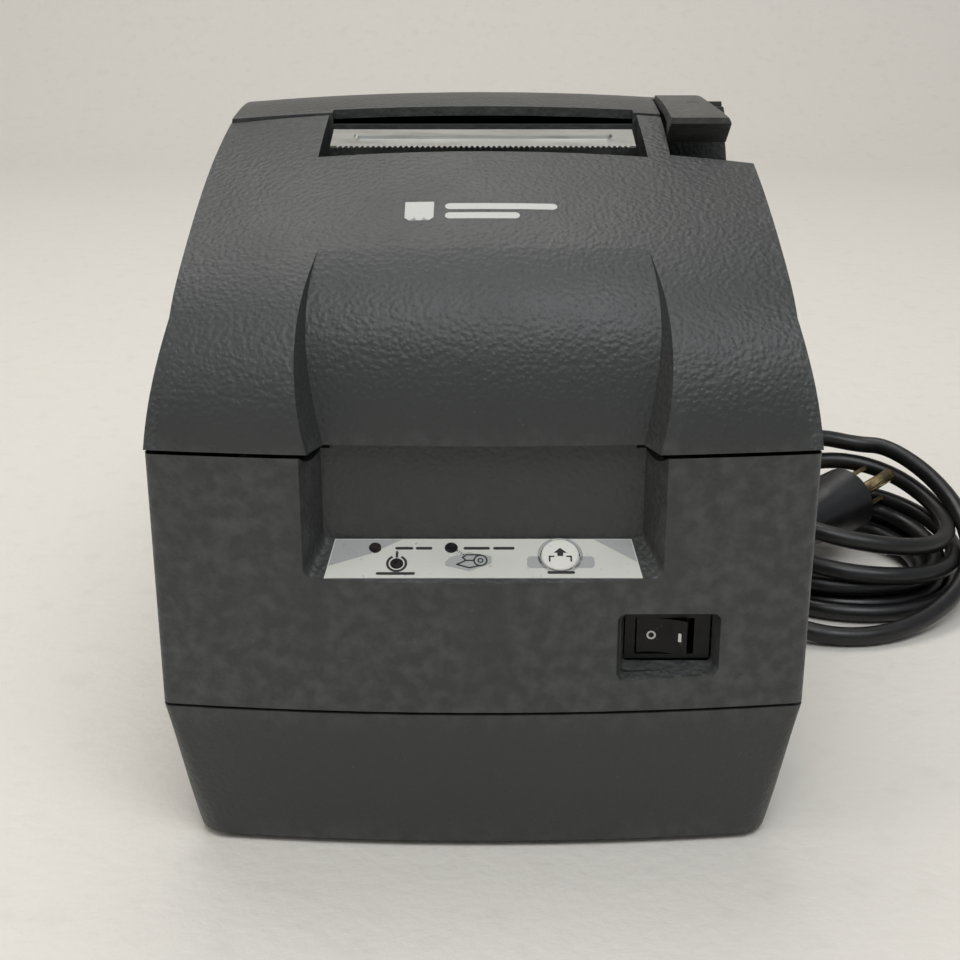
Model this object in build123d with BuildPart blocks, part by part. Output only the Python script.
from build123d import *
import math
import os

os.makedirs("parts", exist_ok=True)

# Receipt printer on a power base.  Millimetres, +Z up, the front faces -Y, +X is the viewer's right.
# The origin is at the middle of the footprint, on the surface that the printer stands on.

# ---------------------------------------------------------------- driving dimensions
WIDTH = 160.0
DEPTH = 248.0
WALL = 2.5
GAP = 0.8  # open seam between two housings

HALF_W = WIDTH / 2
HALF_D = DEPTH / 2
FRONT = -HALF_D
REAR = HALF_D
FRONT_RADIUS = 600.0  # every front face bows outwards at this radius in plan
CROWN_RADIUS = 850.0  # the covers are crowned across the width at this radius
CORNER = 2.5  # upright corners of the housings

FOOT_HEIGHT = 2.0
BASE_TOP = 39.6
CASE_BOTTOM = BASE_TOP + GAP
CASE_TOP = 106.0
COVER_BOTTOM = 107.0
DECK_TOP = 136.2  # top of the rear housing, under the roll cover
ROLL_BOTTOM = 137.0
PEAK = 177.2

SEAM_Y = -24.0  # upright seam between the front cover and the rear housing
ROLL_FRONT = SEAM_Y + GAP
COVER_SHORT = 0.4  # the front cover ends this far before the seam, which shows as a dark line
NOTCH_SET_BACK = 3.1  # above the paper notch the roll cover's top edge stands back this far
NOTCH_LIP = 171.0  # height from which it does

# front cover hinge, inside the cover's lower edge
COVER_PIVOT_Y = -116.5
COVER_PIVOT_Z = 112.0
# roll cover hinge, along the rear edge
ROLL_PIVOT_Y = 109.0
ROLL_PIVOT_Z = 140.5
ROLL_ROUND = 6.0
# lever hinge
LEVER_PIVOT_Y = -4.2
LEVER_PIVOT_Z = 174.0
LEVER_ROUND = 3.2

RUNNING = 0.05  # radial clearance of a shaft in its bore

# operating panel: a sloped label at the foot of a recess in the front
SLOPE_FOOT = (-123.0, 75.6)
SLOPE_HEAD = (-112.0, 82.0)
SLOPE_RISE = (SLOPE_HEAD[1] - SLOPE_FOOT[1]) / (SLOPE_HEAD[0] - SLOPE_FOOT[0])
SLOPE_MID = ((SLOPE_FOOT[0] + SLOPE_HEAD[0]) / 2, (SLOPE_FOOT[1] + SLOPE_HEAD[1]) / 2)
SLOPE_ANGLE = math.degrees(math.atan(SLOPE_RISE))
PANEL_PLANE = Plane((0, SLOPE_MID[0], SLOPE_MID[1])).rotated((SLOPE_ANGLE, 0, 0))
BUTTON_PLACE = (18.6, 0.8)  # on the panel plane
LENS_PLACES = ((-26.3, 3.2), (-7.8, 3.2), (-20.9, -1.6))

# paper path
BAY_RADIUS = 41.5
BAY_HALF_WIDTH = 41.5
BAY_Y = 51.5
BAY_Z = 107.5
SLOT_FRONT = -52.0  # front edge of the paper notch
NOTCH_HALF = 43.5


# ---------------------------------------------------------------- shared outlines
def plan_outline(half_width, front, back, corner):
    """Plan of a housing: bowed front edge, straight sides and back, rounded corners."""
    bow = half_width**2 / (2 * FRONT_RADIUS)
    with BuildSketch() as outline:
        with BuildLine():
            ThreePointArc((-half_width, front + bow), (0, front), (half_width, front + bow))
            Polyline(
                (half_width, front + bow),
                (half_width, back),
                (-half_width, back),
                (-half_width, front + bow),
            )
        make_face()
        fillet(outline.vertices(), corner)
    return outline.sketch


def inward(points, distance):
    """Moves a chain of points sideways, to its right-hand side, by the distance."""
    moved = []
    for index, point in enumerate(points):
        before = Vector(*points[max(index - 1, 0)])
        after = Vector(*points[min(index + 1, len(points) - 1)])
        along = (after - before).normalized()
        moved.append((point[0] + along.Y * distance, point[1] - along.X * distance))
    return moved


# side curve of the front cover: distance behind the front face, height
COVER_CURVE = (
    (0.0, 107.0),
    (1.0, 114.5),
    (3.8, 122.5),
    (13.0, 136.0),
    (28.0, 147.5),
    (50.0, 158.5),
    (72.0, 167.4),
    (100.0, 175.2),
)
# side curve of the flared skirt, which leans further back
FLARE_CURVE = (
    (0.0, 107.0),
    (2.4, 112.5),
    (6.0, 120.0),
    (13.0, 130.5),
    (22.0, 139.0),
    (30.0, 144.0),
)
# half widths of the cover above its skirt, and of the skirt: half width, height
COVER_SIDES = (
    (77.4, 100.0),
    (76.3, 111.0),
    (75.2, 119.0),
    (74.6, 130.0),
    (74.1, 140.0),
    (73.3, 148.0),
    (72.4, 158.5),
    (71.2, 167.0),
    (69.6, 175.0),
    (68.6, 180.0),
)
FLARE_SIDES = (
    (80.0, 107.0),
    (79.5, 113.0),
    (78.1, 122.0),
    (75.9, 132.0),
    (73.6, 142.0),
)
STATIONS = (-80.0, -40.0, 0.0, 40.0, 80.0)


def across(curve, station, inset):
    """A side curve at a distance from the middle, with the bow and the crown applied."""
    low = curve[0][1]
    placed = []
    for back, height in inward(curve, inset):
        crown = station**2 / (2 * CROWN_RADIUS) * (height - low) / (PEAK - low)
        bow = station**2 / (2 * FRONT_RADIUS)
        placed.append((FRONT + back + bow, height - crown))
    return placed


def curved_block(curve, inset, back, floor):
    """A block under a side curve, bowed and crowned across its width."""
    with BuildPart() as block:
        for station in STATIONS:
            chain = across(curve, station, inset)
            foot = floor - WALL
            with BuildSketch(Plane.YZ.offset(station)):
                with BuildLine():
                    Spline(*chain)
                    Polyline(chain[-1], (back, chain[-1][1]), (back, foot), (chain[0][0], foot), chain[0])
                make_face()
        loft()
    return block.part


def side_outline(sides, inset, floor, roof):
    """Front view of a housing, from its half widths at several heights."""
    right = [(half - inset, height) for half, height in sides]
    left = [(-half, height) for half, height in reversed(right)]
    with BuildSketch() as outline:
        with BuildLine():
            Spline(*right)
            Spline(*left)
            Line(right[-1], left[0])
            Line(left[-1], right[0])
        make_face()
        with Locations((0, (floor + roof) / 2)):
            Rectangle(2 * WIDTH, roof - floor, mode=Mode.INTERSECT)
    return outline.sketch


def cover_volume(inset, back, floor):
    """Outer volume of the front cover, or its inner volume when inset by the wall."""
    with BuildPart() as upper:
        add(curved_block(COVER_CURVE, inset, back + WIDTH, floor))
        with BuildSketch(Plane.XZ.offset(-REAR)):
            add(side_outline(COVER_SIDES, inset, floor, PEAK))
        extrude(amount=2 * REAR + WALL, mode=Mode.INTERSECT)
    with BuildPart() as skirt:
        add(curved_block(FLARE_CURVE, inset, back + WIDTH, floor))
        with BuildSketch(Plane.XZ.offset(-REAR)):
            add(side_outline(FLARE_SIDES, inset, floor, FLARE_SIDES[-1][1]))
        extrude(amount=2 * REAR + WALL, mode=Mode.INTERSECT)
    with BuildPart() as volume:
        add(upper.part)
        add(skirt.part)
        with Locations((0, back + WIDTH, PEAK / 2)):
            Box(2 * WIDTH, 2 * WIDTH, 2 * PEAK, mode=Mode.SUBTRACT)
    return volume.part


# side curve of the cover's middle panel, which lies behind the wings and meets the cover higher up
PANEL_CURVE = (
    (8.0, 107.0),
    (8.9, 114.0),
    (10.7, 122.0),
    (14.2, 131.0),
    (19.6, 139.0),
    (25.6, 145.0),
    (32.3, 150.0),
    (37.5, 153.0),
    (48.6, 158.5),
)


# side faces of the middle panel
PANEL_HALF = 38.6  # half width at the cover's lower edge
PANEL_SPREAD = 0.273  # they part by this much with height
PANEL_NARROWS = 0.4  # and close in by this much with depth
SIDE_STRETCH = 1.08  # width that a leaning side face takes up for each mm of its lining


def panel_half(back, height):
    """Half width of the space in front of the middle panel, between its flat side faces."""
    spread = PANEL_SPREAD * (height - COVER_BOTTOM)
    return PANEL_HALF + spread - PANEL_NARROWS * (back - PANEL_CURVE[0][0])


def panel_wedge(depth):
    """Space in front of the cover's middle panel, or its lining when made deeper."""
    front, rear, top = -3.0, 60.0, 155.0
    with BuildPart() as wedge:
        for height in (COVER_BOTTOM - 3, top):
            near = panel_half(front, height) + SIDE_STRETCH * depth
            far = panel_half(rear, height) + SIDE_STRETCH * depth
            with BuildSketch(Plane.XY.offset(height)):
                with BuildLine():
                    Polyline(
                        (-near, FRONT + front),
                        (near, FRONT + front),
                        (far, FRONT + rear),
                        (-far, FRONT + rear),
                        (-near, FRONT + front),
                    )
                make_face()
        loft(ruled=True)
        add(curved_block(PANEL_CURVE, depth, SEAM_Y, COVER_BOTTOM - 20), mode=Mode.SUBTRACT)
    return wedge.part


# ---------------------------------------------------------------- power base
# sections of the base, which narrows towards its foot: height, inset at the sides, corner radius
BASE_SECTIONS = ((FOOT_HEIGHT, 5.8, 9.0), (20.6, 2.8, 6.0), (33.0, 1.1, 3.5), (BASE_TOP, 0.0, CORNER))
END_SHARE = 0.45  # the base's front and back lean in this much less than its sides
INLET_X = 48.0
INLET_Z = 20.0
NICHE_FLOOR_Y = 100.0
NICHE_WIDTH = 32.0
NICHE_HEIGHT = 27.0
BOSS_X = 69.0
BOSS_Y = 88.0
BOSS_RADIUS = 5.0
SCREW_RADIUS = 1.6

with BuildPart() as base_tray:
    for height, inset, corner in BASE_SECTIONS:
        with BuildSketch(Plane.XY.offset(height)):
            end = END_SHARE * inset
            add(plan_outline(HALF_W - inset, FRONT + end, REAR - end, corner))
    loft()
    for height, inset, corner in BASE_SECTIONS:
        with BuildSketch(Plane.XY.offset(height + WALL)):
            end = END_SHARE * inset + WALL
            add(plan_outline(HALF_W - inset - WALL, FRONT + end, REAR - end, corner))
    loft(mode=Mode.SUBTRACT)
    with Locations((INLET_X, (NICHE_FLOOR_Y + REAR - 3) / 2, BASE_TOP / 2 + 1)):
        Box(NICHE_WIDTH + 4, REAR - 3 - NICHE_FLOOR_Y + 4, BASE_TOP - 6)
    with Locations((INLET_X, NICHE_FLOOR_Y + 20, INLET_Z)):
        Box(NICHE_WIDTH, 40, NICHE_HEIGHT, mode=Mode.SUBTRACT)
    with Locations((INLET_X, NICHE_FLOOR_Y, INLET_Z)):
        Box(28.2, 10, 20.2, mode=Mode.SUBTRACT)
    with GridLocations(2 * BOSS_X, 2 * BOSS_Y, 2, 2):
        Cylinder(BOSS_RADIUS, CASE_BOTTOM, align=(Align.CENTER, Align.CENTER, Align.MIN))
    with BuildSketch(Plane.XY):
        Rectangle(WIDTH, DEPTH)
    extrude(amount=FOOT_HEIGHT, mode=Mode.SUBTRACT)
    with GridLocations(2 * BOSS_X, 2 * BOSS_Y, 2, 2):
        Cylinder(SCREW_RADIUS, 3 * CASE_BOTTOM, mode=Mode.SUBTRACT)
        Cylinder(3.4, 2 * (FOOT_HEIGHT + 4), mode=Mode.SUBTRACT)
base_tray.part.label = "base_tray"
export_step(base_tray.part, "parts/base_tray.step")

with BuildPart() as base_feet:
    with GridLocations(2 * 52, 2 * 100, 2, 2):
        Cylinder(7.0, FOOT_HEIGHT, align=(Align.CENTER, Align.CENTER, Align.MIN))
    chamfer(base_feet.edges().group_by(Axis.Z)[0], 0.5)
base_feet.part.label = "base_feet"
export_step(base_feet.part, "parts/base_feet.step")

with BuildPart() as base_screws:
    with GridLocations(2 * BOSS_X, 2 * BOSS_Y, 2, 2):
        with Locations((0, 0, FOOT_HEIGHT + 1.6)):
            Cylinder(3.0, 2.4, align=(Align.CENTER, Align.CENTER, Align.MIN))
        with Locations((0, 0, FOOT_HEIGHT + 4)):
            Cylinder(SCREW_RADIUS - 0.02, 37, align=(Align.CENTER, Align.CENTER, Align.MIN))
base_screws.part.label = "base_screws"
export_step(base_screws.part, "parts/base_screws.step")

BRICK_CENTRE = (-14.0, -12.0)
BRICK_SIZE = (78.0, 150.0, 30.0)
with BuildPart() as power_brick:
    with Locations((BRICK_CENTRE[0], BRICK_CENTRE[1], 5.0)):
        Box(*BRICK_SIZE, align=(Align.CENTER, Align.CENTER, Align.MIN))
    fillet(power_brick.edges().filter_by(Axis.Z), 6)
    chamfer(power_brick.edges().group_by(Axis.Z)[-1], 1.5)
power_brick.part.label = "power_brick"
export_step(power_brick.part, "parts/power_brick.step")

# appliance inlet: a flanged socket with three pins inside
with BuildPart() as power_inlet:
    with Locations((INLET_X, NICHE_FLOOR_Y, INLET_Z)):
        with Locations((0, -8, 0)):
            Box(27.6, 16, 19.6)
        with Locations((0, 0.8, 0)):
            Box(31, 1.6, 24)
        with Locations((0, -6.2, 0)):
            Box(24.4, 16, 16.4, mode=Mode.SUBTRACT)
        with Locations((-7, -8, -1), (7, -8, -1), (0, -8, 3)):
            Box(2, 13, 4)
power_inlet.part.label = "power_inlet"
export_step(power_inlet.part, "parts/power_inlet.step")

# ---------------------------------------------------------------- lower case
RECESS_HALF_BACK = 39.0
RECESS_TAPER = 0.4
SWITCH_X = 45.5
SWITCH_Z = 57.7
REAR_OPENING = (96.0, 40.0)
REAR_OPENING_Z = 76.0
HINGE_X = 48.1
HINGE_WIDTH = 3.0
HINGE_PIN = 1.2


def recess_space(margin, front, back, roof):
    """Finger recess above the operating panel, or its lining when given a margin."""
    with BuildPart() as space:
        for depth in (front, back):
            half = RECESS_HALF_BACK + margin - RECESS_TAPER * (depth - SLOPE_HEAD[0])
            foot = SLOPE_HEAD[1] + SLOPE_RISE * (depth - SLOPE_HEAD[0]) - margin
            with BuildSketch(Plane.XZ.offset(-depth)):
                with Locations((0, (foot + roof) / 2)):
                    Rectangle(2 * half, roof - foot)
        loft()
        lower = space.faces().sort_by(Axis.Z)[0].edges()
        fillet(lower.group_by(Axis.X)[0] + lower.group_by(Axis.X)[-1], 2.5)
    return space.part


def switch_funnel(margin, depth):
    """Bevelled recess around the power switch, or its lining when given a margin."""
    with BuildPart() as funnel:
        with BuildSketch(Plane.XZ.offset(-FRONT + 1)):
            with Locations((SWITCH_X, SWITCH_Z)):
                RectangleRounded(27.2 + 2 * margin, 19.6 + 2 * margin, 2.4)
        with BuildSketch(Plane.XZ.offset(-FRONT - depth)):
            with Locations((SWITCH_X, SWITCH_Z)):
                RectangleRounded(21.8 + 2 * margin, 12.8 + 2 * margin, 1.2)
        loft()
    return funnel.part


with BuildPart() as lower_case:
    with BuildSketch(Plane.XY.offset(CASE_BOTTOM)):
        add(plan_outline(HALF_W, FRONT, REAR, CORNER))
    extrude(amount=CASE_TOP - CASE_BOTTOM)
    with BuildSketch(Plane.XY.offset(CASE_BOTTOM + WALL)):
        add(plan_outline(HALF_W - WALL, FRONT + WALL, REAR - WALL, 1.0))
    extrude(amount=CASE_TOP - CASE_BOTTOM, mode=Mode.SUBTRACT)
    # the inner top edge falls away so that the cover's edge can swing past it
    for height, inset in ((CASE_TOP - 2.2, WALL), (CASE_TOP, 0.3)):
        with BuildSketch(Plane.XY.offset(height)):
            add(plan_outline(HALF_W - inset, FRONT + inset, SEAM_Y, 1.0))
    loft(mode=Mode.SUBTRACT)
    # behind the front cover the rim stands higher and carries the rear housing
    with BuildSketch(Plane.XY.offset(CASE_TOP)):
        add(plan_outline(HALF_W, ROLL_FRONT - 5.4, REAR, CORNER))
        add(plan_outline(HALF_W - WALL, ROLL_FRONT - 40, REAR - WALL, 1.0), mode=Mode.SUBTRACT)
        with Locations((0, ROLL_FRONT - 20)):
            Rectangle(2 * WIDTH, 40, mode=Mode.SUBTRACT)
    extrude(amount=COVER_BOTTOM - CASE_TOP)
    add(recess_space(2.4, FRONT + 2.1, SLOPE_HEAD[0] + 2.4, CASE_TOP))
    add(recess_space(0.0, FRONT - 3, SLOPE_HEAD[0], CASE_TOP + 5), mode=Mode.SUBTRACT)
    with BuildPart(mode=Mode.PRIVATE) as switch_lining:
        add(switch_funnel(1.8, 7.0))
        with Locations((SWITCH_X, FRONT - 1 + 2.6, SWITCH_Z)):
            Box(60, 5.2, 60, mode=Mode.SUBTRACT)
    add(switch_lining.part)
    add(switch_funnel(0.0, 7.0), mode=Mode.SUBTRACT)
    with Locations((0, REAR, REAR_OPENING_Z)):
        Box(REAR_OPENING[0], 3 * WALL, REAR_OPENING[1], mode=Mode.SUBTRACT)
    with Locations(PANEL_PLANE):
        with Locations(BUTTON_PLACE):
            Cylinder(4.8, 12, mode=Mode.SUBTRACT)
        with Locations(*LENS_PLACES):
            Cylinder(1.6, 12, mode=Mode.SUBTRACT)
    # hinge brackets for the front cover, beside the recess
    for side in (-1, 1):
        with Locations((side * 45.2, -108.5, 102.0)):
            Box(9.6, 5.0, 24.0)
        with Locations((side * HINGE_X, -112.0, COVER_PIVOT_Z)):
            Box(HINGE_WIDTH, 9.0, 4.2)
        with Locations(Location((side * HINGE_X, COVER_PIVOT_Y, COVER_PIVOT_Z), (0, 90, 0))):
            Cylinder(2.1, HINGE_WIDTH)
            Cylinder(HINGE_PIN, 3 * HINGE_WIDTH, mode=Mode.SUBTRACT)
        # room for the cover's edge beside the recess
        with Locations(Location((side * 41.5, COVER_PIVOT_Y, COVER_PIVOT_Z), (0, 90, 0))):
            Cylinder(8.1, 9.5, mode=Mode.SUBTRACT)
    with GridLocations(2 * BOSS_X, 2 * BOSS_Y, 2, 2):
        Cylinder(SCREW_RADIUS, 4 * CASE_BOTTOM, mode=Mode.SUBTRACT)
lower_case.part.label = "lower_case"
export_step(lower_case.part, "parts/lower_case.step")


# ---------------------------------------------------------------- front cover
EAR_X = 51.9
EAR_WIDTH = 3.0
LEVER_LEFT = 50.2
LEVER_RIGHT = 66.6
LEVER_FRONT = -44.0
POCKET_FLOOR = 158.0
LINING = 1.8


def notch_prism(margin, front):
    """Paper notch, a little wider at its foot than at its head."""
    with BuildPart() as prism:
        for height, half in ((150.0, NOTCH_HALF + 1.2), (185.0, NOTCH_HALF - 1.6)):
            with BuildSketch(Plane.XY.offset(height)):
                with Locations((0, (front + 1) / 2)):
                    Rectangle(2 * (half + margin), 1 - front)
        loft()
    return prism.part


def lever_pocket(margin, front, back):
    """Space that the lever, and a finger under it, take at the covers' right side."""
    left = LEVER_LEFT - 0.7 - margin
    floor = POCKET_FLOOR - margin
    with BuildPart() as pocket:
        with Locations(((left + WIDTH) / 2, (front + back) / 2, (floor + 2 * PEAK) / 2)):
            Box(WIDTH - left, back - front, 2 * PEAK - floor)
    return pocket.part


outer_cover = cover_volume(0.0, SEAM_Y - COVER_SHORT, COVER_BOTTOM)

with BuildPart() as cover_core:
    add(cover_volume(WALL, SEAM_Y + 20, COVER_BOTTOM - 20))
    add(panel_wedge(WALL), mode=Mode.SUBTRACT)

with BuildPart() as notch_lining:
    add(outer_cover)
    add(notch_prism(LINING, SLOT_FRONT - LINING), mode=Mode.INTERSECT)
    with Locations((0, 0, POCKET_FLOOR + PEAK)):
        Box(2 * WIDTH, 2 * DEPTH, 2 * PEAK, mode=Mode.INTERSECT)

with BuildPart() as pocket_lining:
    add(outer_cover)
    add(lever_pocket(LINING, -50.0 - LINING, SEAM_Y), mode=Mode.INTERSECT)

with BuildPart() as front_cover:
    add(outer_cover)
    add(panel_wedge(0.0), mode=Mode.SUBTRACT)
    add(cover_core.part, mode=Mode.SUBTRACT)
    add(notch_lining.part)
    add(pocket_lining.part)
    add(notch_prism(0.0, SLOT_FRONT), mode=Mode.SUBTRACT)
    add(lever_pocket(0.0, -50.0, SEAM_Y + 1), mode=Mode.SUBTRACT)
    for side in (-1, 1):
        with Locations((side * EAR_X, -116.9, COVER_PIVOT_Z + 0.2)):
            Box(EAR_WIDTH, 6.0, 6.4)
        with Locations(Location((side * EAR_X, COVER_PIVOT_Y, COVER_PIVOT_Z), (0, 90, 0))):
            Cylinder(HINGE_PIN + RUNNING, 2 * EAR_WIDTH, mode=Mode.SUBTRACT)
front_cover.part.label = "front_cover"
export_step(front_cover.part, "parts/front_cover.step")

with BuildPart() as front_hinge_pins:
    for side in (-1, 1):
        with Locations(Location((side * (HINGE_X + EAR_X) / 2, COVER_PIVOT_Y, COVER_PIVOT_Z), (0, 90, 0))):
            Cylinder(HINGE_PIN, EAR_X - HINGE_X + EAR_WIDTH + 0.4)
front_hinge_pins.part.label = "front_hinge_pins"
export_step(front_hinge_pins.part, "parts/front_hinge_pins.step")

# ---------------------------------------------------------------- rear housing
KNUCKLE_X = 47.5
KNUCKLE_WIDTH = 5.0
TROUGH = ROLL_ROUND + 0.6
ROLL_PIN = 2.0
ROLL_AXIS = Plane((0, ROLL_PIVOT_Y, ROLL_PIVOT_Z), z_dir=(1, 0, 0))

with BuildPart() as upper_case:
    for sides in (COVER_SIDES, FLARE_SIDES):
        with BuildSketch(Plane.XZ.offset(-REAR)):
            add(side_outline(sides, 0.0, COVER_BOTTOM, DECK_TOP))
        extrude(amount=REAR - ROLL_FRONT)
    chamfer(upper_case.edges().group_by(Axis.Y)[-1].filter_by(Axis.X, reverse=True), 1.6)
    with BuildPart(mode=Mode.PRIVATE) as room:
        for sides in (COVER_SIDES, FLARE_SIDES):
            with BuildSketch(Plane.XZ.offset(WALL - REAR)):
                add(side_outline(sides, WALL, COVER_BOTTOM - 1, DECK_TOP - WALL))
            extrude(amount=DEPTH)
    add(room.part, mode=Mode.SUBTRACT)
    # trough under the roll cover's rounded rear edge, with its lining
    with BuildSketch(ROLL_AXIS.offset(-72)):
        Circle(TROUGH + 2)
    extrude(amount=144)
    with Locations((0, ROLL_PIVOT_Y, DECK_TOP + 20)):
        Box(2 * WIDTH, 40, 40, mode=Mode.SUBTRACT)
    with BuildSketch(ROLL_AXIS.offset(-74.6)):
        Circle(TROUGH)
    extrude(amount=149.2, mode=Mode.SUBTRACT)
    # opening for the paper roll and the mechanism
    with Locations((0, (ROLL_FRONT - 20 + 96.5) / 2, DECK_TOP)):
        Box(124, 96.5 - ROLL_FRONT + 20, 4 * WALL, mode=Mode.SUBTRACT)
    with Locations((0, ROLL_FRONT, DECK_TOP)):
        Box(136, 2 * 34, 4 * WALL, mode=Mode.SUBTRACT)
    for side in (-1, 1):
        with Locations((side * KNUCKLE_X, ROLL_PIVOT_Y, (132.5 + ROLL_PIVOT_Z) / 2)):
            Box(KNUCKLE_WIDTH, 8.4, ROLL_PIVOT_Z - 132.5)
        with Locations(Location((side * KNUCKLE_X, ROLL_PIVOT_Y, ROLL_PIVOT_Z), (0, 90, 0))):
            Cylinder(4.2, KNUCKLE_WIDTH)
            Cylinder(ROLL_PIN, 2 * KNUCKLE_WIDTH, mode=Mode.SUBTRACT)
upper_case.part.label = "upper_case"
export_step(upper_case.part, "parts/upper_case.step")

# ---------------------------------------------------------------- roll cover
# top line of the roll cover: place, height
ROLL_CURVE = (
    (ROLL_FRONT, 175.3),
    (-12.0, 176.6),
    (2.0, PEAK),
    (18.0, 176.0),
    (45.0, 171.6),
    (72.0, 163.8),
    (97.0, 153.8),
)
TANGENT_ANGLE = 60.0
LEVER_WALL = 1.8


def roll_block(inset, floor):
    """Outer volume of the roll cover, or its inner volume when inset by the wall."""
    with BuildPart() as block:
        for station in STATIONS:
            chain = []
            for place, height in inward(ROLL_CURVE, inset):
                crown = station**2 / (2 * CROWN_RADIUS) * (height - DECK_TOP) / (PEAK - DECK_TOP)
                chain.append((place, height - crown))
            round_off = ROLL_ROUND - inset
            knee = (
                ROLL_PIVOT_Y + round_off * math.cos(math.radians(TANGENT_ANGLE)),
                ROLL_PIVOT_Z + round_off * math.sin(math.radians(TANGENT_ANGLE)),
            )
            with BuildSketch(Plane.YZ.offset(station)):
                with BuildLine():
                    Spline(*chain)
                    Line(chain[-1], knee)
                    Line(knee, (knee[0], floor))
                    Line((knee[0], floor), (chain[0][0], floor))
                    Line((chain[0][0], floor), chain[0])
                make_face()
        loft()
        with BuildSketch(Plane.XZ.offset(-REAR)):
            add(side_outline(COVER_SIDES, inset, floor, PEAK))
        extrude(amount=DEPTH, mode=Mode.INTERSECT)
    return block.part


outer_roll = roll_block(0.0, ROLL_BOTTOM)

with BuildPart() as roll_cover:
    add(outer_roll)
    with BuildSketch(ROLL_AXIS.offset(-71.8)):
        Circle(ROLL_ROUND)
    extrude(amount=143.6)
    # hollow under the top, leaving the front wall and the hinge barrel
    with BuildPart(mode=Mode.PRIVATE) as roll_room:
        add(roll_block(WALL, ROLL_BOTTOM - 5))
        with Locations((0, 0, PEAK / 2)):
            Box(2 * WIDTH, 2 * (ROLL_PIVOT_Y - ROLL_ROUND - 3), 2 * PEAK, mode=Mode.INTERSECT)
        with Locations((0, ROLL_FRONT + WALL - 20, PEAK / 2)):
            Box(2 * WIDTH, 40, 2 * PEAK, mode=Mode.SUBTRACT)
        add(lever_pocket(LINING, -50.0, LEVER_PIVOT_Y + LEVER_ROUND + LEVER_WALL + 0.5), mode=Mode.SUBTRACT)
    add(roll_room.part, mode=Mode.SUBTRACT)
    # the front wall is open low down, where the paper and the frame pass
    with Locations((0, ROLL_FRONT, ROLL_BOTTOM)):
        Box(136, 3 * WALL, 2 * (POCKET_FLOOR - LINING - 0.4 - ROLL_BOTTOM), mode=Mode.SUBTRACT)
    with BuildPart(mode=Mode.PRIVATE) as roll_pocket:
        add(lever_pocket(0.0, -50.0, LEVER_PIVOT_Y + LEVER_ROUND + 0.5))
        # the lug that holds the right end of the lever's pin
        with Locations((LEVER_RIGHT + 0.4 + 10, LEVER_PIVOT_Y + 0.9, LEVER_PIVOT_Z - 1.3)):
            Box(20, 7.4, 6.4, mode=Mode.SUBTRACT)
    add(roll_pocket.part, mode=Mode.SUBTRACT)
    # above the paper notch the edge of the top stands back
    with Locations((0, ROLL_FRONT, NOTCH_LIP + 10)):
        Box(2 * (NOTCH_HALF - 1.5), 2 * NOTCH_SET_BACK, 20, mode=Mode.SUBTRACT)
    with Locations(Location(((LEVER_LEFT + LEVER_RIGHT) / 2, LEVER_PIVOT_Y, LEVER_PIVOT_Z), (0, 90, 0))):
        Cylinder(1.5, 60, mode=Mode.SUBTRACT)
    with Locations(Location((0, ROLL_PIVOT_Y, ROLL_PIVOT_Z), (0, 90, 0))):
        Cylinder(ROLL_PIN + RUNNING, 2 * WIDTH, mode=Mode.SUBTRACT)
    for side in (-1, 1):
        with Locations(Location((side * KNUCKLE_X, ROLL_PIVOT_Y, ROLL_PIVOT_Z), (0, 90, 0))):
            Cylinder(TROUGH, KNUCKLE_WIDTH + 0.8, mode=Mode.SUBTRACT)
roll_cover.part.label = "roll_cover"
export_step(roll_cover.part, "parts/roll_cover.step")

with BuildPart() as roll_cover_pins:
    for side in (-1, 1):
        with Locations(Location((side * (KNUCKLE_X + 3), ROLL_PIVOT_Y, ROLL_PIVOT_Z), (0, 90, 0))):
            Cylinder(ROLL_PIN, 22)
roll_cover_pins.part.label = "roll_cover_pins"
export_step(roll_cover_pins.part, "parts/roll_cover_pins.step")

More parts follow.
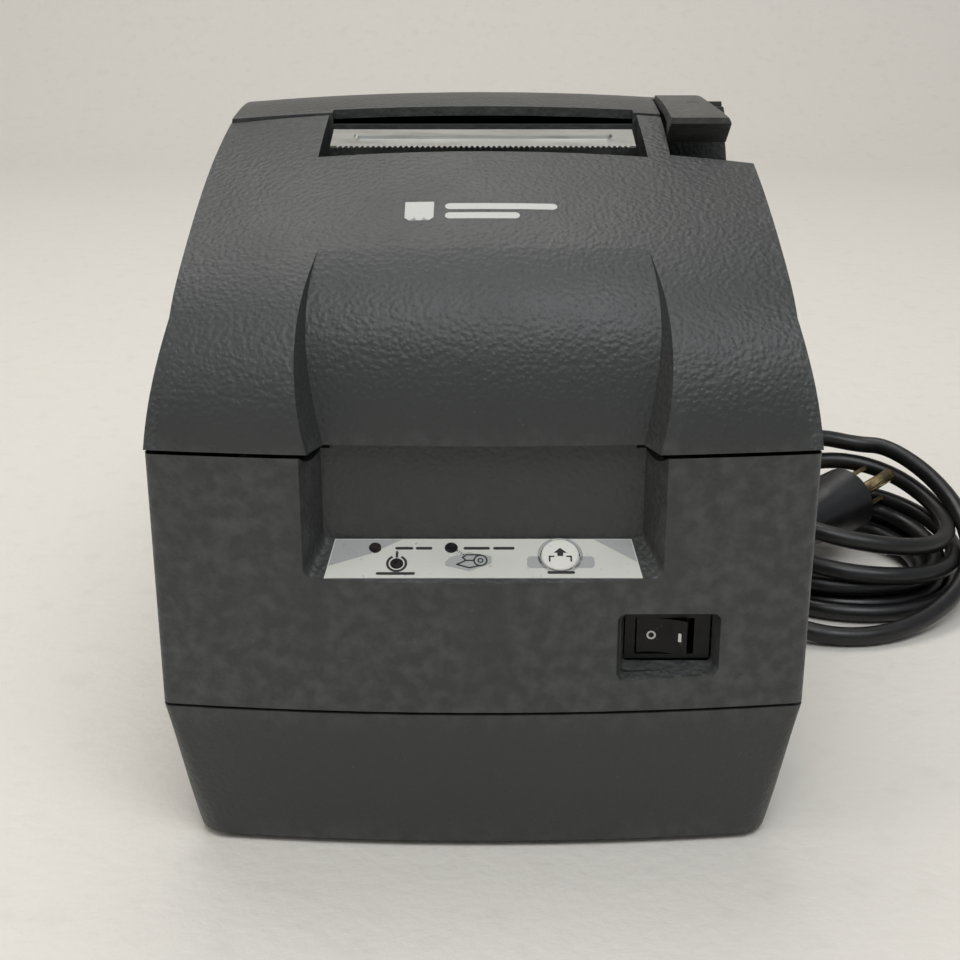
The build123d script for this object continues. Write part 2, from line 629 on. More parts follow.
# ---------------------------------------------------------------- opening lever
with BuildPart() as open_lever:
    with BuildSketch(Plane.YZ.offset(LEVER_LEFT)):
        with BuildLine():
            ThreePointArc((LEVER_FRONT, 175.2), (-25.0, 176.9), (LEVER_PIVOT_Y, LEVER_PIVOT_Z + LEVER_ROUND))
            ThreePointArc(
                (LEVER_PIVOT_Y, LEVER_PIVOT_Z + LEVER_ROUND),
                (LEVER_PIVOT_Y + LEVER_ROUND, LEVER_PIVOT_Z),
                (LEVER_PIVOT_Y, LEVER_PIVOT_Z - LEVER_ROUND),
            )
            Polyline(
                (LEVER_PIVOT_Y, LEVER_PIVOT_Z - LEVER_ROUND),
                (-11.0, 166.0),
                (-34.0, 167.6),
                (-41.0, 172.4),
                (LEVER_FRONT + 0.2, 173.6),
                (LEVER_FRONT, 175.2),
            )
        make_face()
    extrude(amount=LEVER_RIGHT - LEVER_LEFT)
    # the outer top corner is rounded off
    with BuildSketch(Plane.XZ.offset(LEVER_PIVOT_Y - 50)):
        with BuildLine():
            Polyline(
                (LEVER_RIGHT - 5.0, PEAK),
                (LEVER_LEFT, PEAK),
                (LEVER_LEFT, 160.0),
                (LEVER_RIGHT, 160.0),
                (LEVER_RIGHT, 172.0),
            )
            TangentArc((LEVER_RIGHT, 172.0), (LEVER_RIGHT - 5.0, PEAK), tangent=(0, 1))
        make_face()
    extrude(amount=100, both=True, mode=Mode.INTERSECT)
    with BuildSketch(Plane.YZ.offset(LEVER_LEFT - 1)):
        with BuildLine():
            Polyline(
                (-34.0, 160.0),
                (-34.0, 173.0),
                (-25.0, 174.2),
                (-11.0, 174.6),
                (-11.0, 160.0),
                (-34.0, 160.0),
            )
        make_face()
    extrude(amount=LEVER_RIGHT - LEVER_LEFT + 1 - LEVER_WALL, mode=Mode.SUBTRACT)
    with Locations(Location(((LEVER_LEFT + LEVER_RIGHT) / 2, LEVER_PIVOT_Y, LEVER_PIVOT_Z), (0, 90, 0))):
        Cylinder(1.5 + RUNNING, 60, mode=Mode.SUBTRACT)
open_lever.part.label = "open_lever"
export_step(open_lever.part, "parts/open_lever.step")

with BuildPart() as lever_pin:
    with Locations(Location((55.5, LEVER_PIVOT_Y, LEVER_PIVOT_Z), (0, 90, 0))):
        Cylinder(1.5, 27.8)
lever_pin.part.label = "lever_pin"
export_step(lever_pin.part, "parts/lever_pin.step")

# ---------------------------------------------------------------- panel, lenses, button and switch
LABEL_THICKNESS = 0.25
with BuildPart() as panel_label:
    with BuildSketch(PANEL_PLANE.offset(0.02)):
        with BuildLine():
            Polyline((-36.2, 5.9), (36.2, 5.9), (38.2, -5.9), (-38.2, -5.9), (-36.2, 5.9))
        make_face()
        with Locations(BUTTON_PLACE):
            Circle(4.8, mode=Mode.SUBTRACT)
        with Locations(*LENS_PLACES):
            Circle(1.6, mode=Mode.SUBTRACT)
    extrude(amount=LABEL_THICKNESS)
panel_label.part.label = "panel_label"
export_step(panel_label.part, "parts/panel_label.step")

BUTTON_RADIUS = 4.55
with BuildPart() as feed_button:
    with BuildSketch(PANEL_PLANE.offset(-3.3)):
        with Locations(BUTTON_PLACE):
            Circle(6.0)
    extrude(amount=0.8)
    with BuildSketch(PANEL_PLANE.offset(-2.5)):
        with Locations(BUTTON_PLACE):
            Circle(BUTTON_RADIUS)
    extrude(amount=3.5)
    chamfer(feed_button.faces().sort_by(Axis.Z)[-1].edges(), 0.35)
feed_button.part.label = "feed_button"
export_step(feed_button.part, "parts/feed_button.step")

with BuildPart() as indicator_lenses:
    with BuildSketch(PANEL_PLANE.offset(-4.0)):
        with Locations(*LENS_PLACES):
            Circle(1.5)
    extrude(amount=4.4)
indicator_lenses.part.label = "indicator_lenses"
export_step(indicator_lenses.part, "parts/indicator_lenses.step")

BOARD_THICKNESS = 1.6
with BuildPart() as panel_board:
    with BuildSketch(PANEL_PLANE.offset(-7.3)):
        Rectangle(72, 10.5)
    extrude(amount=BOARD_THICKNESS)
    with BuildSketch(PANEL_PLANE.offset(-5.7)):
        with Locations(BUTTON_PLACE):
            Rectangle(6, 6)
    extrude(amount=1.2)
    with BuildSketch(PANEL_PLANE.offset(-5.7)):
        with Locations(*LENS_PLACES):
            Circle(1.4)
    extrude(amount=1.4)
panel_board.part.label = "panel_board"
export_step(panel_board.part, "parts/panel_board.step")

ROCKER_X = 44.8
ROCKER_Y = -113.3
ROCKER_HALF = 6.2
ROCKER_HEIGHT = 9.2
ROCKER_TILT = -11.0
with BuildPart() as switch_housing:
    with Locations((SWITCH_X, -107.6, SWITCH_Z)):
        Box(21.0, 17.6, 12.0)
    with Locations((SWITCH_X, -98.0, SWITCH_Z - 3), (SWITCH_X - 6, -98.0, SWITCH_Z + 2)):
        Box(0.8, 8, 4.8)
    with Locations((ROCKER_X, -113.0, SWITCH_Z)):
        Box(14.6, 9.0, ROCKER_HEIGHT + 0.6, mode=Mode.SUBTRACT)
    with Locations((ROCKER_X, ROCKER_Y, SWITCH_Z)):
        Cylinder(1.0 + RUNNING, 11.4, mode=Mode.SUBTRACT)
switch_housing.part.label = "switch_housing"
export_step(switch_housing.part, "parts/switch_housing.step")

with BuildPart() as power_rocker:
    with BuildSketch(Plane((ROCKER_X, ROCKER_Y, SWITCH_Z - ROCKER_HEIGHT / 2)).rotated((0, 0, ROCKER_TILT))):
        with BuildLine():
            ThreePointArc((-ROCKER_HALF, -3.9), (0, -2.9), (ROCKER_HALF, -3.9))
            Polyline((ROCKER_HALF, -3.9), (5.2, 1.6), (-5.2, 1.6), (-ROCKER_HALF, -3.9))
        make_face()
    extrude(amount=ROCKER_HEIGHT)
    with Locations((ROCKER_X, ROCKER_Y, SWITCH_Z)):
        Cylinder(1.0, 11.0)
power_rocker.part.label = "power_rocker"
export_step(power_rocker.part, "parts/power_rocker.step")

# ---------------------------------------------------------------- electronics
SHEET = 1.2
CHASSIS_Z = CASE_BOTTOM + WALL
BOARD_Z = 53.0
with BuildPart() as chassis_plate:
    with Locations((0, 4, CHASSIS_Z)):
        Box(130, 214, SHEET, align=(Align.CENTER, Align.CENTER, Align.MIN))
    with Locations((0, 60, CHASSIS_Z)):
        with GridLocations(100, 96, 2, 2):
            Cylinder(3, BOARD_Z - CHASSIS_Z, align=(Align.CENTER, Align.CENTER, Align.MIN))
    with GridLocations(2 * BOSS_X, 2 * BOSS_Y, 2, 2):
        Cylinder(6, 4 * CASE_BOTTOM, mode=Mode.SUBTRACT)
chassis_plate.part.label = "chassis_plate"
export_step(chassis_plate.part, "parts/chassis_plate.step")

with BuildPart() as main_board:
    with Locations((0, 60, BOARD_Z)):
        Box(112, 108, BOARD_THICKNESS, align=(Align.CENTER, Align.CENTER, Align.MIN))
    with Locations((-20, 50, BOARD_Z + BOARD_THICKNESS)):
        Box(20, 20, 2, align=(Align.CENTER, Align.CENTER, Align.MIN))
    with Locations((15, 40, BOARD_Z + BOARD_THICKNESS)):
        Box(14, 10, 2, align=(Align.CENTER, Align.CENTER, Align.MIN))
    with Locations((30, 20, BOARD_Z + BOARD_THICKNESS), (42, 20, BOARD_Z + BOARD_THICKNESS)):
        Cylinder(4, 8, align=(Align.CENTER, Align.CENTER, Align.MIN))
main_board.part.label = "main_board"
export_step(main_board.part, "parts/main_board.step")

SCREW_PLACE = 44.0
PORT_SIZES = ((-22.0, 36.0, 12.5), (12.0, 16.0, 14.0), (33.0, 13.0, 12.0))
with BuildPart() as interface_plate:
    with Locations((0, REAR - 2.0, REAR_OPENING_Z)):
        Box(REAR_OPENING[0] - 0.6, SHEET, REAR_OPENING[1] - 0.6)
    for place, width, height in PORT_SIZES:
        with Locations((place, REAR - 2.0, REAR_OPENING_Z)):
            Box(width, 3 * SHEET, height, mode=Mode.SUBTRACT)
    for side in (-1, 1):
        with Locations(Location((side * SCREW_PLACE, REAR, REAR_OPENING_Z), (90, 0, 0))):
            Cylinder(1.6, 10, mode=Mode.SUBTRACT)
interface_plate.part.label = "interface_plate"
export_step(interface_plate.part, "parts/interface_plate.step")

with BuildPart() as interface_ports:
    with Locations((0, 112, REAR_OPENING_Z)):
        Box(90, BOARD_THICKNESS, 34)
    for place, width, height in PORT_SIZES:
        with Locations((place, 118.2, REAR_OPENING_Z)):
            Box(width - 0.3, 11.2, height - 0.3)
        with Locations((place, REAR, REAR_OPENING_Z)):
            Box(width - 3, 12, height - 4, mode=Mode.SUBTRACT)
interface_ports.part.label = "interface_ports"
export_step(interface_ports.part, "parts/interface_ports.step")

with BuildPart() as interface_screws:
    for side in (-1, 1):
        with Locations(Location((side * SCREW_PLACE, REAR - 2.0 + SHEET / 2, REAR_OPENING_Z), (90, 0, 0))):
            Cylinder(2.6, 0.8, align=(Align.CENTER, Align.CENTER, Align.MAX))
            Cylinder(1.55, 6.0, align=(Align.CENTER, Align.CENTER, Align.MIN))
interface_screws.part.label = "interface_screws"
export_step(interface_screws.part, "parts/interface_screws.step")

# ---------------------------------------------------------------- roll holder
SENSOR_X = 47.8
with BuildPart() as roll_bucket:
    with BuildSketch(Plane.YZ.offset(-BAY_HALF_WIDTH - WALL)):
        with Locations((BAY_Y, BAY_Z)):
            Circle(BAY_RADIUS + WALL)
        with Locations((BAY_Y, BAY_Z + 12.5)):
            Rectangle(2 * (BAY_RADIUS + WALL), 25)
    extrude(amount=2 * (BAY_HALF_WIDTH + WALL))
    with BuildSketch(Plane.YZ.offset(-BAY_HALF_WIDTH)):
        with Locations((BAY_Y, BAY_Z)):
            Circle(BAY_RADIUS)
        with Locations((BAY_Y, BAY_Z + 40)):
            Rectangle(2 * BAY_RADIUS, 80)
    extrude(amount=2 * BAY_HALF_WIDTH, mode=Mode.SUBTRACT)
    with Locations((0, BAY_Y, BAY_Z + 25 + 30)):
        Box(WIDTH, DEPTH, 60, mode=Mode.SUBTRACT)
    # window for the near-end lever
    with Locations((BAY_HALF_WIDTH, BAY_Y, 85.0)):
        Box(8, 7, 16, mode=Mode.SUBTRACT)
    for side in (-1, 1):
        with Locations((SENSOR_X, BAY_Y + side * 4.2, 74.0)):
            Box(8, 1.6, 8)
            with Locations(Location((0, 0, 0), (90, 0, 0))):
                Cylinder(1.25, 6, mode=Mode.SUBTRACT)
roll_bucket.part.label = "roll_bucket"
export_step(roll_bucket.part, "parts/roll_bucket.step")

with BuildPart() as near_end_lever:
    with BuildSketch(Plane.XZ.offset(-BAY_Y - 2.5)):
        with Locations((SENSOR_X, 74.0)):
            Circle(2.6)
        with BuildLine():
            Polyline(
                (SENSOR_X - 1.2, 74.0),
                (SENSOR_X - 1.2, 84.0),
                (BAY_HALF_WIDTH - 2.0, 86.5),
                (BAY_HALF_WIDTH - 2.0, 88.5),
                (SENSOR_X + 1.2, 90.0),
                (SENSOR_X + 1.2, 74.0),
                (SENSOR_X - 1.2, 74.0),
            )
        make_face()
    extrude(amount=5.0)
    with Locations(Location((SENSOR_X, BAY_Y, 74.0), (90, 0, 0))):
        Cylinder(1.2, 10.4)
near_end_lever.part.label = "near_end_lever"
export_step(near_end_lever.part, "parts/near_end_lever.step")

# ---------------------------------------------------------------- printing mechanism
FRAME_X = 60.0
FRAME_SHEET = 2.0
FRAME_Z = CHASSIS_Z + SHEET
SHAFT_Y = -80.0
SHAFT_Z = 88.0
SHAFT_RADIUS = 4.0
FEED_Y = -11.0
FEED_Z = 136.0
FEED_RADIUS = 6.0
FEED_SHAFT = 3.0
GEAR_MODULE = 1.0
GEAR_TEETH = 36
PINION_TEETH = 12
GEAR_CENTRES = GEAR_MODULE * (GEAR_TEETH + PINION_TEETH) / 2 + 0.25
BELT_Y = -99.0
BELT_Z = 97.0
PULLEY_X = 40.0
PULLEY_RADIUS = 5.0
BAR_Z = 83.0

with BuildPart() as mechanism_frame:
    with Locations((0, -50.0, FRAME_Z)):
        Box(2 * FRAME_X, 92, FRAME_SHEET, align=(Align.CENTER, Align.CENTER, Align.MIN))
    for side in (-1, 1):
        with BuildSketch(Plane.YZ.offset(side * (FRAME_X - FRAME_SHEET / 2) - FRAME_SHEET / 2)):
            with BuildLine():
                Polyline(
                    (-104.0, FRAME_Z),
                    (-104.0, 104.0),
                    (-84.0, 132.0),
                    (-58.0, 148.0),
                    (-30.0, 155.0),
                    (-20.0, 142.0),
                    (-3.0, 142.0),
                    (-1.0, FRAME_Z),
                    (-104.0, FRAME_Z),
                )
            make_face()
        extrude(amount=FRAME_SHEET)
    # bar that carries the belt's idler
    with Locations((0, BELT_Y, BAR_Z)):
        Box(2 * FRAME_X - 1, 8.4, 2, align=(Align.CENTER, Align.CENTER, Align.MIN))
    with Locations((-PULLEY_X, BELT_Y, BAR_Z)):
        Cylinder(2.5, 10, mode=Mode.SUBTRACT)
    with Locations(Location((0, SHAFT_Y, SHAFT_Z), (0, 90, 0))):
        Cylinder(SHAFT_RADIUS, 3 * FRAME_X, mode=Mode.SUBTRACT)
    with Locations(Location((0, FEED_Y, FEED_Z), (0, 90, 0))):
        Cylinder(FEED_SHAFT + RUNNING, 3 * FRAME_X, mode=Mode.SUBTRACT)
    with Locations(Location((FRAME_X, FEED_Y, FEED_Z - GEAR_CENTRES), (0, 90, 0))):
        Cylinder(7.6, 3 * FRAME_SHEET, mode=Mode.SUBTRACT)
mechanism_frame.part.label = "mechanism_frame"
export_step(mechanism_frame.part, "parts/mechanism_frame.step")

with BuildPart() as guide_shaft:
    with Locations(Location((0, SHAFT_Y, SHAFT_Z), (0, 90, 0))):
        Cylinder(SHAFT_RADIUS, 2 * FRAME_X + 4)
    chamfer(guide_shaft.edges().filter_by(GeomType.CIRCLE), 0.5)
guide_shaft.part.label = "guide_shaft"
export_step(guide_shaft.part, "parts/guide_shaft.step")

with BuildPart() as carriage:
    with Locations((0, -77.5, 91.0)):
        Box(34, 29, 24)
    fillet(carriage.edges().filter_by(Axis.Z), 2)
    with Locations(Location((0, SHAFT_Y, SHAFT_Z), (0, 90, 0))):
        Cylinder(SHAFT_RADIUS + RUNNING, 60, mode=Mode.SUBTRACT)
carriage.part.label = "carriage"
export_step(carriage.part, "parts/carriage.step")

HEAD_NOSE_Y = -53.6
with BuildPart() as print_head:
    with Locations((0, -74.0, 103.0)):
        Box(26, 28, 13, align=(Align.CENTER, Align.CENTER, Align.MIN))
    with BuildSketch(Plane.XY.offset(108)):
        with BuildLine():
            Polyline((-9, -61), (-4, HEAD_NOSE_Y), (4, HEAD_NOSE_Y), (9, -61), (-9, -61))
        make_face()
    extrude(amount=8)
    # cooling fins
    with Locations((0, -77.0, 117.0)):
        with GridLocations(0, 3.6, 1, 5):
            Box(30, 1.6, 8, mode=Mode.SUBTRACT)
print_head.part.label = "print_head"
export_step(print_head.part, "parts/print_head.step")

with BuildPart() as platen_bar:
    with Locations((0, -47.0, 104.0)):
        Box(2 * (FRAME_X - FRAME_SHEET), 5, 20, align=(Align.CENTER, Align.CENTER, Align.MIN))
    fillet(platen_bar.edges().filter_by(Axis.X).group_by(Axis.Y)[0], 1.0)
platen_bar.part.label = "platen_bar"
export_step(platen_bar.part, "parts/platen_bar.step")

with BuildPart() as drive_belt:
    with BuildSketch(Plane.XY.offset(BELT_Z - 2.5)):
        with Locations((0, BELT_Y)):
            SlotCenterToCenter(2 * PULLEY_X, 2 * (PULLEY_RADIUS + 0.6))
            SlotCenterToCenter(2 * PULLEY_X, 2 * (PULLEY_RADIUS - 0.5), mode=Mode.SUBTRACT)
    extrude(amount=5)
drive_belt.part.label = "drive_belt"
export_step(drive_belt.part, "parts/drive_belt.step")


def toothed_disc(teeth, module, length, bore):
    """A spur wheel about Z, with straight-flanked teeth cut a little thin for backlash."""
    root = module * (teeth / 2 - 1.2)
    tip = module * (teeth / 2 + 0.9)
    pitch = module * teeth / 2
    with BuildPart() as wheel:
        with BuildSketch():
            Circle(root + 0.01)
            with PolarLocations(0, teeth):
                with BuildLine():
                    Polyline(
                        (root - 0.3, -0.92 * module),
                        (pitch, -0.66 * module),
                        (tip, -0.30 * module),
                        (tip, 0.30 * module),
                        (pitch, 0.66 * module),
                        (root - 0.3, 0.92 * module),
                        (root - 0.3, -0.92 * module),
                    )
                make_face()
            Circle(bore, mode=Mode.SUBTRACT)
        extrude(amount=length)
    return wheel.part


for name, side in (("drive_pulley", -1), ("idler_pulley", 1)):
    with BuildPart() as pulley:
        with Locations((side * PULLEY_X, BELT_Y, BELT_Z)):
            Cylinder(PULLEY_RADIUS - 0.7, 6.4)
            with Locations((0, 0, 3.6), (0, 0, -3.6)):
                Cylinder(PULLEY_RADIUS + 0.9, 0.8)
            with PolarLocations(PULLEY_RADIUS - 0.5, 14):
                Cylinder(0.45, 6.4, mode=Mode.SUBTRACT)
            Cylinder(1.5 if side < 0 else 1.5 + RUNNING, 12, mode=Mode.SUBTRACT)
    pulley.part.label = name
    export_step(pulley.part, f"parts/{name}.step")

with BuildPart() as carriage_motor:
    with Locations((-PULLEY_X, BELT_Y, FRAME_Z + FRAME_SHEET)):
        Cylinder(17.0, 24, align=(Align.CENTER, Align.CENTER, Align.MIN))
        Cylinder(5.0, 27, align=(Align.CENTER, Align.CENTER, Align.MIN))
carriage_motor.part.label = "carriage_motor"
export_step(carriage_motor.part, "parts/carriage_motor.step")

with BuildPart() as motor_shaft:
    with Locations((-PULLEY_X, BELT_Y, FRAME_Z + FRAME_SHEET + 27)):
        shaft_length = BELT_Z + 6 - (FRAME_Z + FRAME_SHEET + 27)
        Cylinder(1.5, shaft_length, align=(Align.CENTER, Align.CENTER, Align.MIN))
motor_shaft.part.label = "motor_shaft"
export_step(motor_shaft.part, "parts/motor_shaft.step")

with BuildPart() as idler_post:
    with Locations((PULLEY_X, BELT_Y, BAR_Z + 2)):
        Cylinder(3.5, BELT_Z - BAR_Z - 6.2, align=(Align.CENTER, Align.CENTER, Align.MIN))
        Cylinder(1.5, BELT_Z + 4 - BAR_Z, align=(Align.CENTER, Align.CENTER, Align.MIN))
idler_post.part.label = "idler_post"
export_step(idler_post.part, "parts/idler_post.step")

# ---------------------------------------------------------------- paper feed
GEAR_X = FRAME_X + 1.0
with BuildPart() as feed_roller:
    with Locations(Location((0, FEED_Y, FEED_Z), (0, 90, 0))):
        Cylinder(FEED_RADIUS - 0.8, 76)
        with Locations((0, 0, -28.5), (0, 0, -9.5), (0, 0, 9.5), (0, 0, 28.5)):
            Cylinder(FEED_RADIUS, 18)
        with Locations((0, 0, 2.5)):
            Cylinder(FEED_SHAFT, 2 * FRAME_X + 9)
feed_roller.part.label = "feed_roller"
export_step(feed_roller.part, "parts/feed_roller.step")

with BuildPart() as feed_gear:
    with Locations(Location((GEAR_X, FEED_Y, FEED_Z), (0, 90, 0))):
        add(toothed_disc(GEAR_TEETH, GEAR_MODULE, 5.0, FEED_SHAFT))
feed_gear.part.label = "feed_gear"
export_step(feed_gear.part, "parts/feed_gear.step")

with BuildPart() as motor_pinion:
    with Locations(Location((GEAR_X - 0.5, FEED_Y, FEED_Z - GEAR_CENTRES), (0, 90, 0))):
        with Locations(Location((0, 0, 0), (0, 0, 180 / PINION_TEETH))):
            add(toothed_disc(PINION_TEETH, GEAR_MODULE, 6.0, 1.5))
motor_pinion.part.label = "motor_pinion"
export_step(motor_pinion.part, "parts/motor_pinion.step")

with BuildPart() as feed_motor:
    with Locations(Location((FRAME_X - FRAME_SHEET, FEED_Y, FEED_Z - GEAR_CENTRES), (0, 90, 0))):
        Cylinder(15.0, 20, align=(Align.CENTER, Align.CENTER, Align.MAX))
        Cylinder(1.5 - RUNNING, 9, align=(Align.CENTER, Align.CENTER, Align.MIN))
feed_motor.part.label = "feed_motor"
export_step(feed_motor.part, "parts/feed_motor.step")

PINCH_RADIUS = 4.0
PINCH_Z = FEED_Z + FEED_RADIUS + 0.3 + PINCH_RADIUS
with BuildPart() as pinch_rollers:
    with Locations(Location((0, FEED_Y, PINCH_Z), (0, 90, 0))):
        Cylinder(1.5, 74)
        with Locations((0, 0, -22), (0, 0, 22)):
            Cylinder(PINCH_RADIUS, 16)
pinch_rollers.part.label = "pinch_rollers"
export_step(pinch_rollers.part, "parts/pinch_rollers.step")

with BuildPart() as pinch_bracket:
    for side in (-1, 1):
        with Locations((side * 35.5, FEED_Y - 3, PINCH_Z - 2.0)):
            Box(2.4, 13.4, 19, align=(Align.CENTER, Align.CENTER, Align.MIN))
    with Locations((0, ROLL_FRONT + WALL + 0.8, PINCH_Z + 11.0)):
        Box(73.4, 1.6, 6, align=(Align.CENTER, Align.CENTER, Align.MIN))
    with Locations(Location((0, FEED_Y, PINCH_Z), (0, 90, 0))):
        Cylinder(1.5 + RUNNING, 100, mode=Mode.SUBTRACT)
pinch_bracket.part.label = "pinch_bracket"
export_step(pinch_bracket.part, "parts/pinch_bracket.step")

# ---------------------------------------------------------------- tear bar and cutter
TEAR_FRONT = -49.6
TEAR_Z = 167.6
TEAR_TILT = 13.0
TEAR_WIDTH = 81.0
TEAR_DEPTH = 13.6
TOOTH_PITCH = 1.45
TEAR_TEETH = 54
TEAR_PLANE = Plane((0, TEAR_FRONT, TEAR_Z)).rotated((TEAR_TILT, 0, 0))
with BuildPart() as tear_bar:
    with BuildSketch(TEAR_PLANE):
        with Locations((0, 1.0 + (TEAR_DEPTH - 1) / 2)):
            Rectangle(TEAR_WIDTH, TEAR_DEPTH - 1)
        with Locations((0, 0.2)):
            with GridLocations(TOOTH_PITCH, 0, TEAR_TEETH, 1):
                Polygon((-0.65, 1.0), (0.65, 1.0), (0, -0.7), align=None)
    extrude(amount=0.6)
    with BuildSketch(TEAR_PLANE.offset(0.6)):
        with Locations((0, 8.2)):
            SlotOverall(69.5, 3.6)
    extrude(amount=0.7, taper=30)
    with Locations((0, TEAR_FRONT + TEAR_DEPTH - 0.6, TEAR_Z - 0.2)):
        Box(70, 0.8, 7.0)
tear_bar.part.label = "tear_bar"
export_step(tear_bar.part, "parts/tear_bar.step")

CUTTER_Z = 151.0
with BuildPart() as cutter_frame:
    with Locations((0, -37.0, CUTTER_Z - 4)):
        Box(2 * (FRAME_X - FRAME_SHEET), 12, 7, align=(Align.CENTER, Align.CENTER, Align.MIN))
    with Locations((0, -37.0, CUTTER_Z + 3)):
        Box(80, 12, 5, align=(Align.CENTER, Align.CENTER, Align.MIN))
    with Locations((0, -33.9, CUTTER_Z + 8)):
        Box(70, 4.6, 7.0, align=(Align.CENTER, Align.CENTER, Align.MIN))
cutter_frame.part.label = "cutter_frame"
export_step(cutter_frame.part, "parts/cutter_frame.step")

with BuildPart() as cutter_blade:
    with BuildSketch(Plane.XY.offset(CUTTER_Z + 8.2)):
        with BuildLine():
            Polyline((-41, -38.2), (-41, -46.8), (0, -44.8), (41, -46.8), (41, -38.2), (-41, -38.2))
        make_face()
    extrude(amount=0.9)
cutter_blade.part.label = "cutter_blade"
export_step(cutter_blade.part, "parts/cutter_blade.step")

# ---------------------------------------------------------------- ribbon
CASSETTE_Z = 120.0
KNOB_PLACE = (-38.0, -84.0)
with BuildPart() as ribbon_cassette:
    with Locations((0, -78.0, CASSETTE_Z)):
        Box(112, 26, 14, align=(Align.CENTER, Align.CENTER, Align.MIN))
    for side in (-1, 1):
        with Locations((side * 53.0, -60.0, CASSETTE_Z - 12)):
            Box(6, 14, 26, align=(Align.CENTER, Align.CENTER, Align.MIN))
    fillet(ribbon_cassette.edges().filter_by(Axis.Z), 1.5)
    with Locations((KNOB_PLACE[0], KNOB_PLACE[1], CASSETTE_Z + 14)):
        Cylinder(2.0 + RUNNING, 16, mode=Mode.SUBTRACT)
ribbon_cassette.part.label = "ribbon_cassette"
export_step(ribbon_cassette.part, "parts/ribbon_cassette.step")

with BuildPart() as ribbon_knob:
    with Locations((KNOB_PLACE[0], KNOB_PLACE[1], CASSETTE_Z + 14.2)):
        Cylinder(6.5, 4.2, align=(Align.CENTER, Align.CENTER, Align.MIN))
        with PolarLocations(6.6, 18):
            Cylinder(0.6, 12, mode=Mode.SUBTRACT)
        with Locations((0, 0, -6)):
            Cylinder(2.0, 7, align=(Align.CENTER, Align.CENTER, Align.MIN))
ribbon_knob.part.label = "ribbon_knob"
export_step(ribbon_knob.part, "parts/ribbon_knob.step")

with BuildPart() as ribbon_band:
    with Locations((0, -52.7, 108.5)):
        Box(100, 0.2, 10, align=(Align.CENTER, Align.CENTER, Align.MIN))
ribbon_band.part.label = "ribbon_band"
export_step(ribbon_band.part, "parts/ribbon_band.step")

# ---------------------------------------------------------------- mains cord
CABLE_RADIUS = 3.1
CONNECTOR_END = 150.0
COIL_CENTRE = (131.0, 48.0)
COIL_OUTER = 45.0
COIL_INNER = 24.0
COIL_FRONT_HEIGHT = 26.0
COIL_BACK_HEIGHT = 44.0

with BuildPart() as cord_connector:
    with Locations((INLET_X, NICHE_FLOOR_Y - 5.4, INLET_Z)):
        Box(23.6, 15, 15.6)
    with Locations((INLET_X, NICHE_FLOOR_Y + 12.0, INLET_Z)):
        Box(27, 20, 19)
    fillet(cord_connector.edges().filter_by(Axis.Y), 3)
    with BuildSketch(Plane.XZ.offset(-NICHE_FLOOR_Y - 22)):
        with Locations((INLET_X, INLET_Z)):
            Circle(6.5)
    with BuildSketch(Plane.XZ.offset(-CONNECTOR_END)):
        with Locations((INLET_X, INLET_Z)):
            Circle(CABLE_RADIUS + 0.6)
    loft()
    for place, level in ((-7, -1), (7, -1), (0, 3)):
        with Locations((INLET_X + place, NICHE_FLOOR_Y - 5.4, INLET_Z + level)):
            Box(2.8, 15.1, 4.8, mode=Mode.SUBTRACT)
cord_connector.part.label = "cord_connector"
export_step(cord_connector.part, "parts/cord_connector.step")

# route of the cord from the connector to the coil, chosen by hand
ROUTE = (
    (INLET_X, CONNECTOR_END, INLET_Z),
    (INLET_X, 166.0, 17.5),
    (54.0, 180.0, 10.5),
    (69.0, 187.5, 4.6),
    (88.0, 184.0, 3.2),
    (106.0, 170.0, 3.3),
    (122.0, 148.0, 3.2),
    (138.0, 121.0, 3.4),
    (151.0, 92.0, 5.0),
)


def bend_radii(points):
    """Largest arc at each corner of a route that still leaves each run a straight part."""
    radii = []
    for before, corner, after in zip(points, points[1:], points[2:]):
        arriving = Vector(*corner) - Vector(*before)
        leaving = Vector(*after) - Vector(*corner)
        turn = math.radians(arriving.get_angle(leaving))
        shorter = min(arriving.length, leaving.length)
        radii.append(0.45 * shorter / math.tan(turn / 2))
    return radii


route_radii = bend_radii(ROUTE)
print("cord bend radii", [round(radius, 1) for radius in route_radii])

with BuildPart() as mains_cord:
    with BuildLine() as cord_line:
        FilletPolyline(*ROUTE, radius=route_radii)
    with BuildSketch(Plane(cord_line.wire() @ 0, z_dir=cord_line.wire() % 0)):
        Circle(CABLE_RADIUS)
    sweep()
tube_volume = math.pi * CABLE_RADIUS**2 * cord_line.wire().length
print("cord volume over section times length", mains_cord.part.volume / tube_volume)
mains_cord.part.label = "mains_cord"
export_step(mains_cord.part, "parts/mains_cord.step")

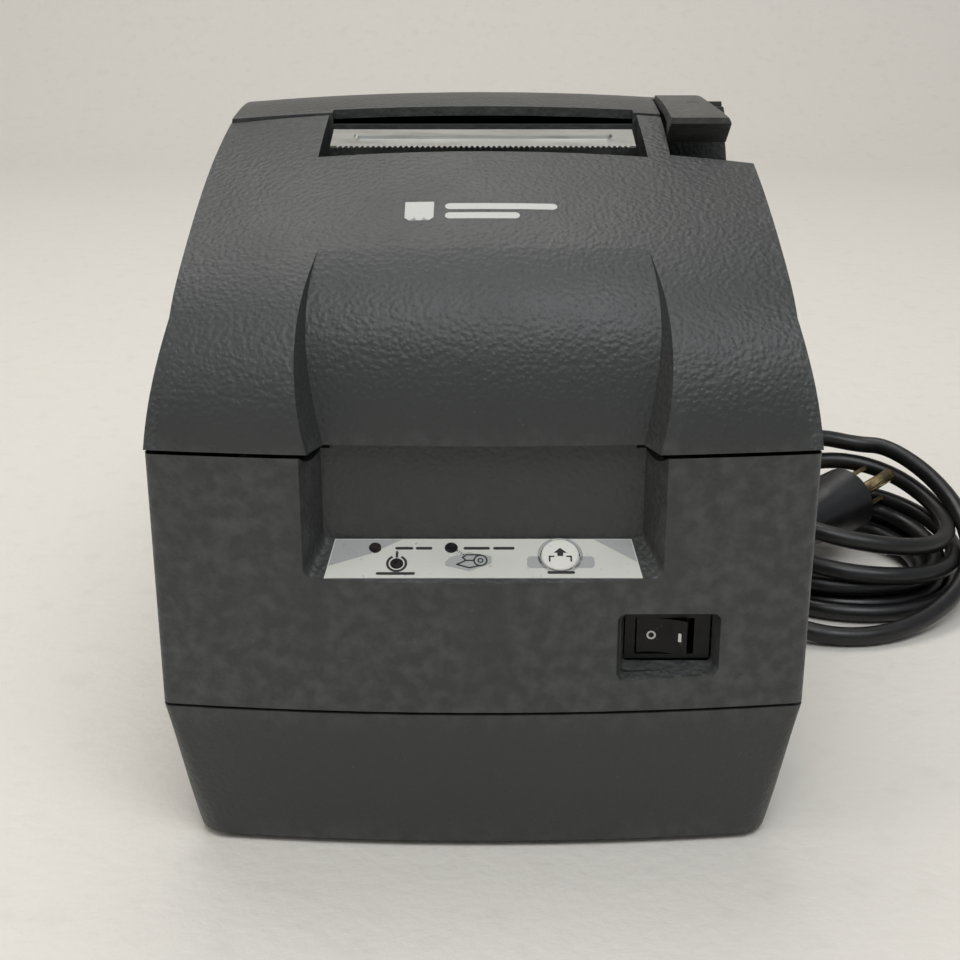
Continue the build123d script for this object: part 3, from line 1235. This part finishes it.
# loose pile of turns, lower at the front than at the back
with BuildPart() as cord_coil:
    with BuildSketch(Plane.YZ.offset(COIL_CENTRE[0] - COIL_OUTER - 1)):
        with BuildLine():
            Polyline(
                (COIL_CENTRE[1] - COIL_OUTER - 1, 0),
                (COIL_CENTRE[1] - COIL_OUTER - 1, COIL_FRONT_HEIGHT),
                (COIL_CENTRE[1] + COIL_OUTER + 1, COIL_BACK_HEIGHT),
                (COIL_CENTRE[1] + COIL_OUTER + 1, 0),
                (COIL_CENTRE[1] - COIL_OUTER - 1, 0),
            )
        make_face()
    extrude(amount=2 * COIL_OUTER + 2)
    with BuildSketch():
        with Locations(COIL_CENTRE):
            Circle(COIL_OUTER)
            Circle(COIL_INNER, mode=Mode.SUBTRACT)
    extrude(amount=60, mode=Mode.INTERSECT)
cord_coil.part.label = "cord_coil"
export_step(cord_coil.part, "parts/cord_coil.step")

# plug lying on the pile: its pins point to the right and back
PLUG_FACE = Vector(136.3, 73.0, 23.2)
PLUG_AIM = Vector(0.76, 0.63, 0.16).normalized()
PLUG_LENGTH = 28.0
BLADE_SIDE = Vector(0.46, -0.36, -0.80)
PLUG_PLANE = Plane(PLUG_FACE, x_dir=BLADE_SIDE, z_dir=PLUG_AIM)
PIN_SIDE = -1.0
with BuildPart() as mains_plug:
    with BuildSketch(PLUG_PLANE):
        Circle(12.0)
        with Locations((0, -5.0 * PIN_SIDE)):
            Rectangle(24, 12, mode=Mode.ADD)
    with BuildSketch(PLUG_PLANE.offset(-PLUG_LENGTH)):
        Circle(8.0)
        with Locations((0, -3.2 * PIN_SIDE)):
            Rectangle(16, 8, mode=Mode.ADD)
    loft()
    with BuildSketch(PLUG_PLANE.offset(-PLUG_LENGTH)):
        Circle(5.6)
    with BuildSketch(PLUG_PLANE.offset(-PLUG_LENGTH - 20)):
        Circle(CABLE_RADIUS + 0.6)
    loft()
mains_plug.part.label = "mains_plug"
export_step(mains_plug.part, "parts/mains_plug.step")

with BuildPart() as plug_prongs:
    with BuildSketch(PLUG_PLANE):
        with Locations((-6.35, -3.5 * PIN_SIDE), (6.35, -3.5 * PIN_SIDE)):
            Rectangle(1.5, 6.35)
    extrude(amount=17)
    with BuildSketch(PLUG_PLANE):
        with Locations((0, 6.0 * PIN_SIDE)):
            Circle(2.4)
    extrude(amount=19.5)
plug_prongs.part.label = "plug_prongs"
export_step(plug_prongs.part, "parts/plug_prongs.step")
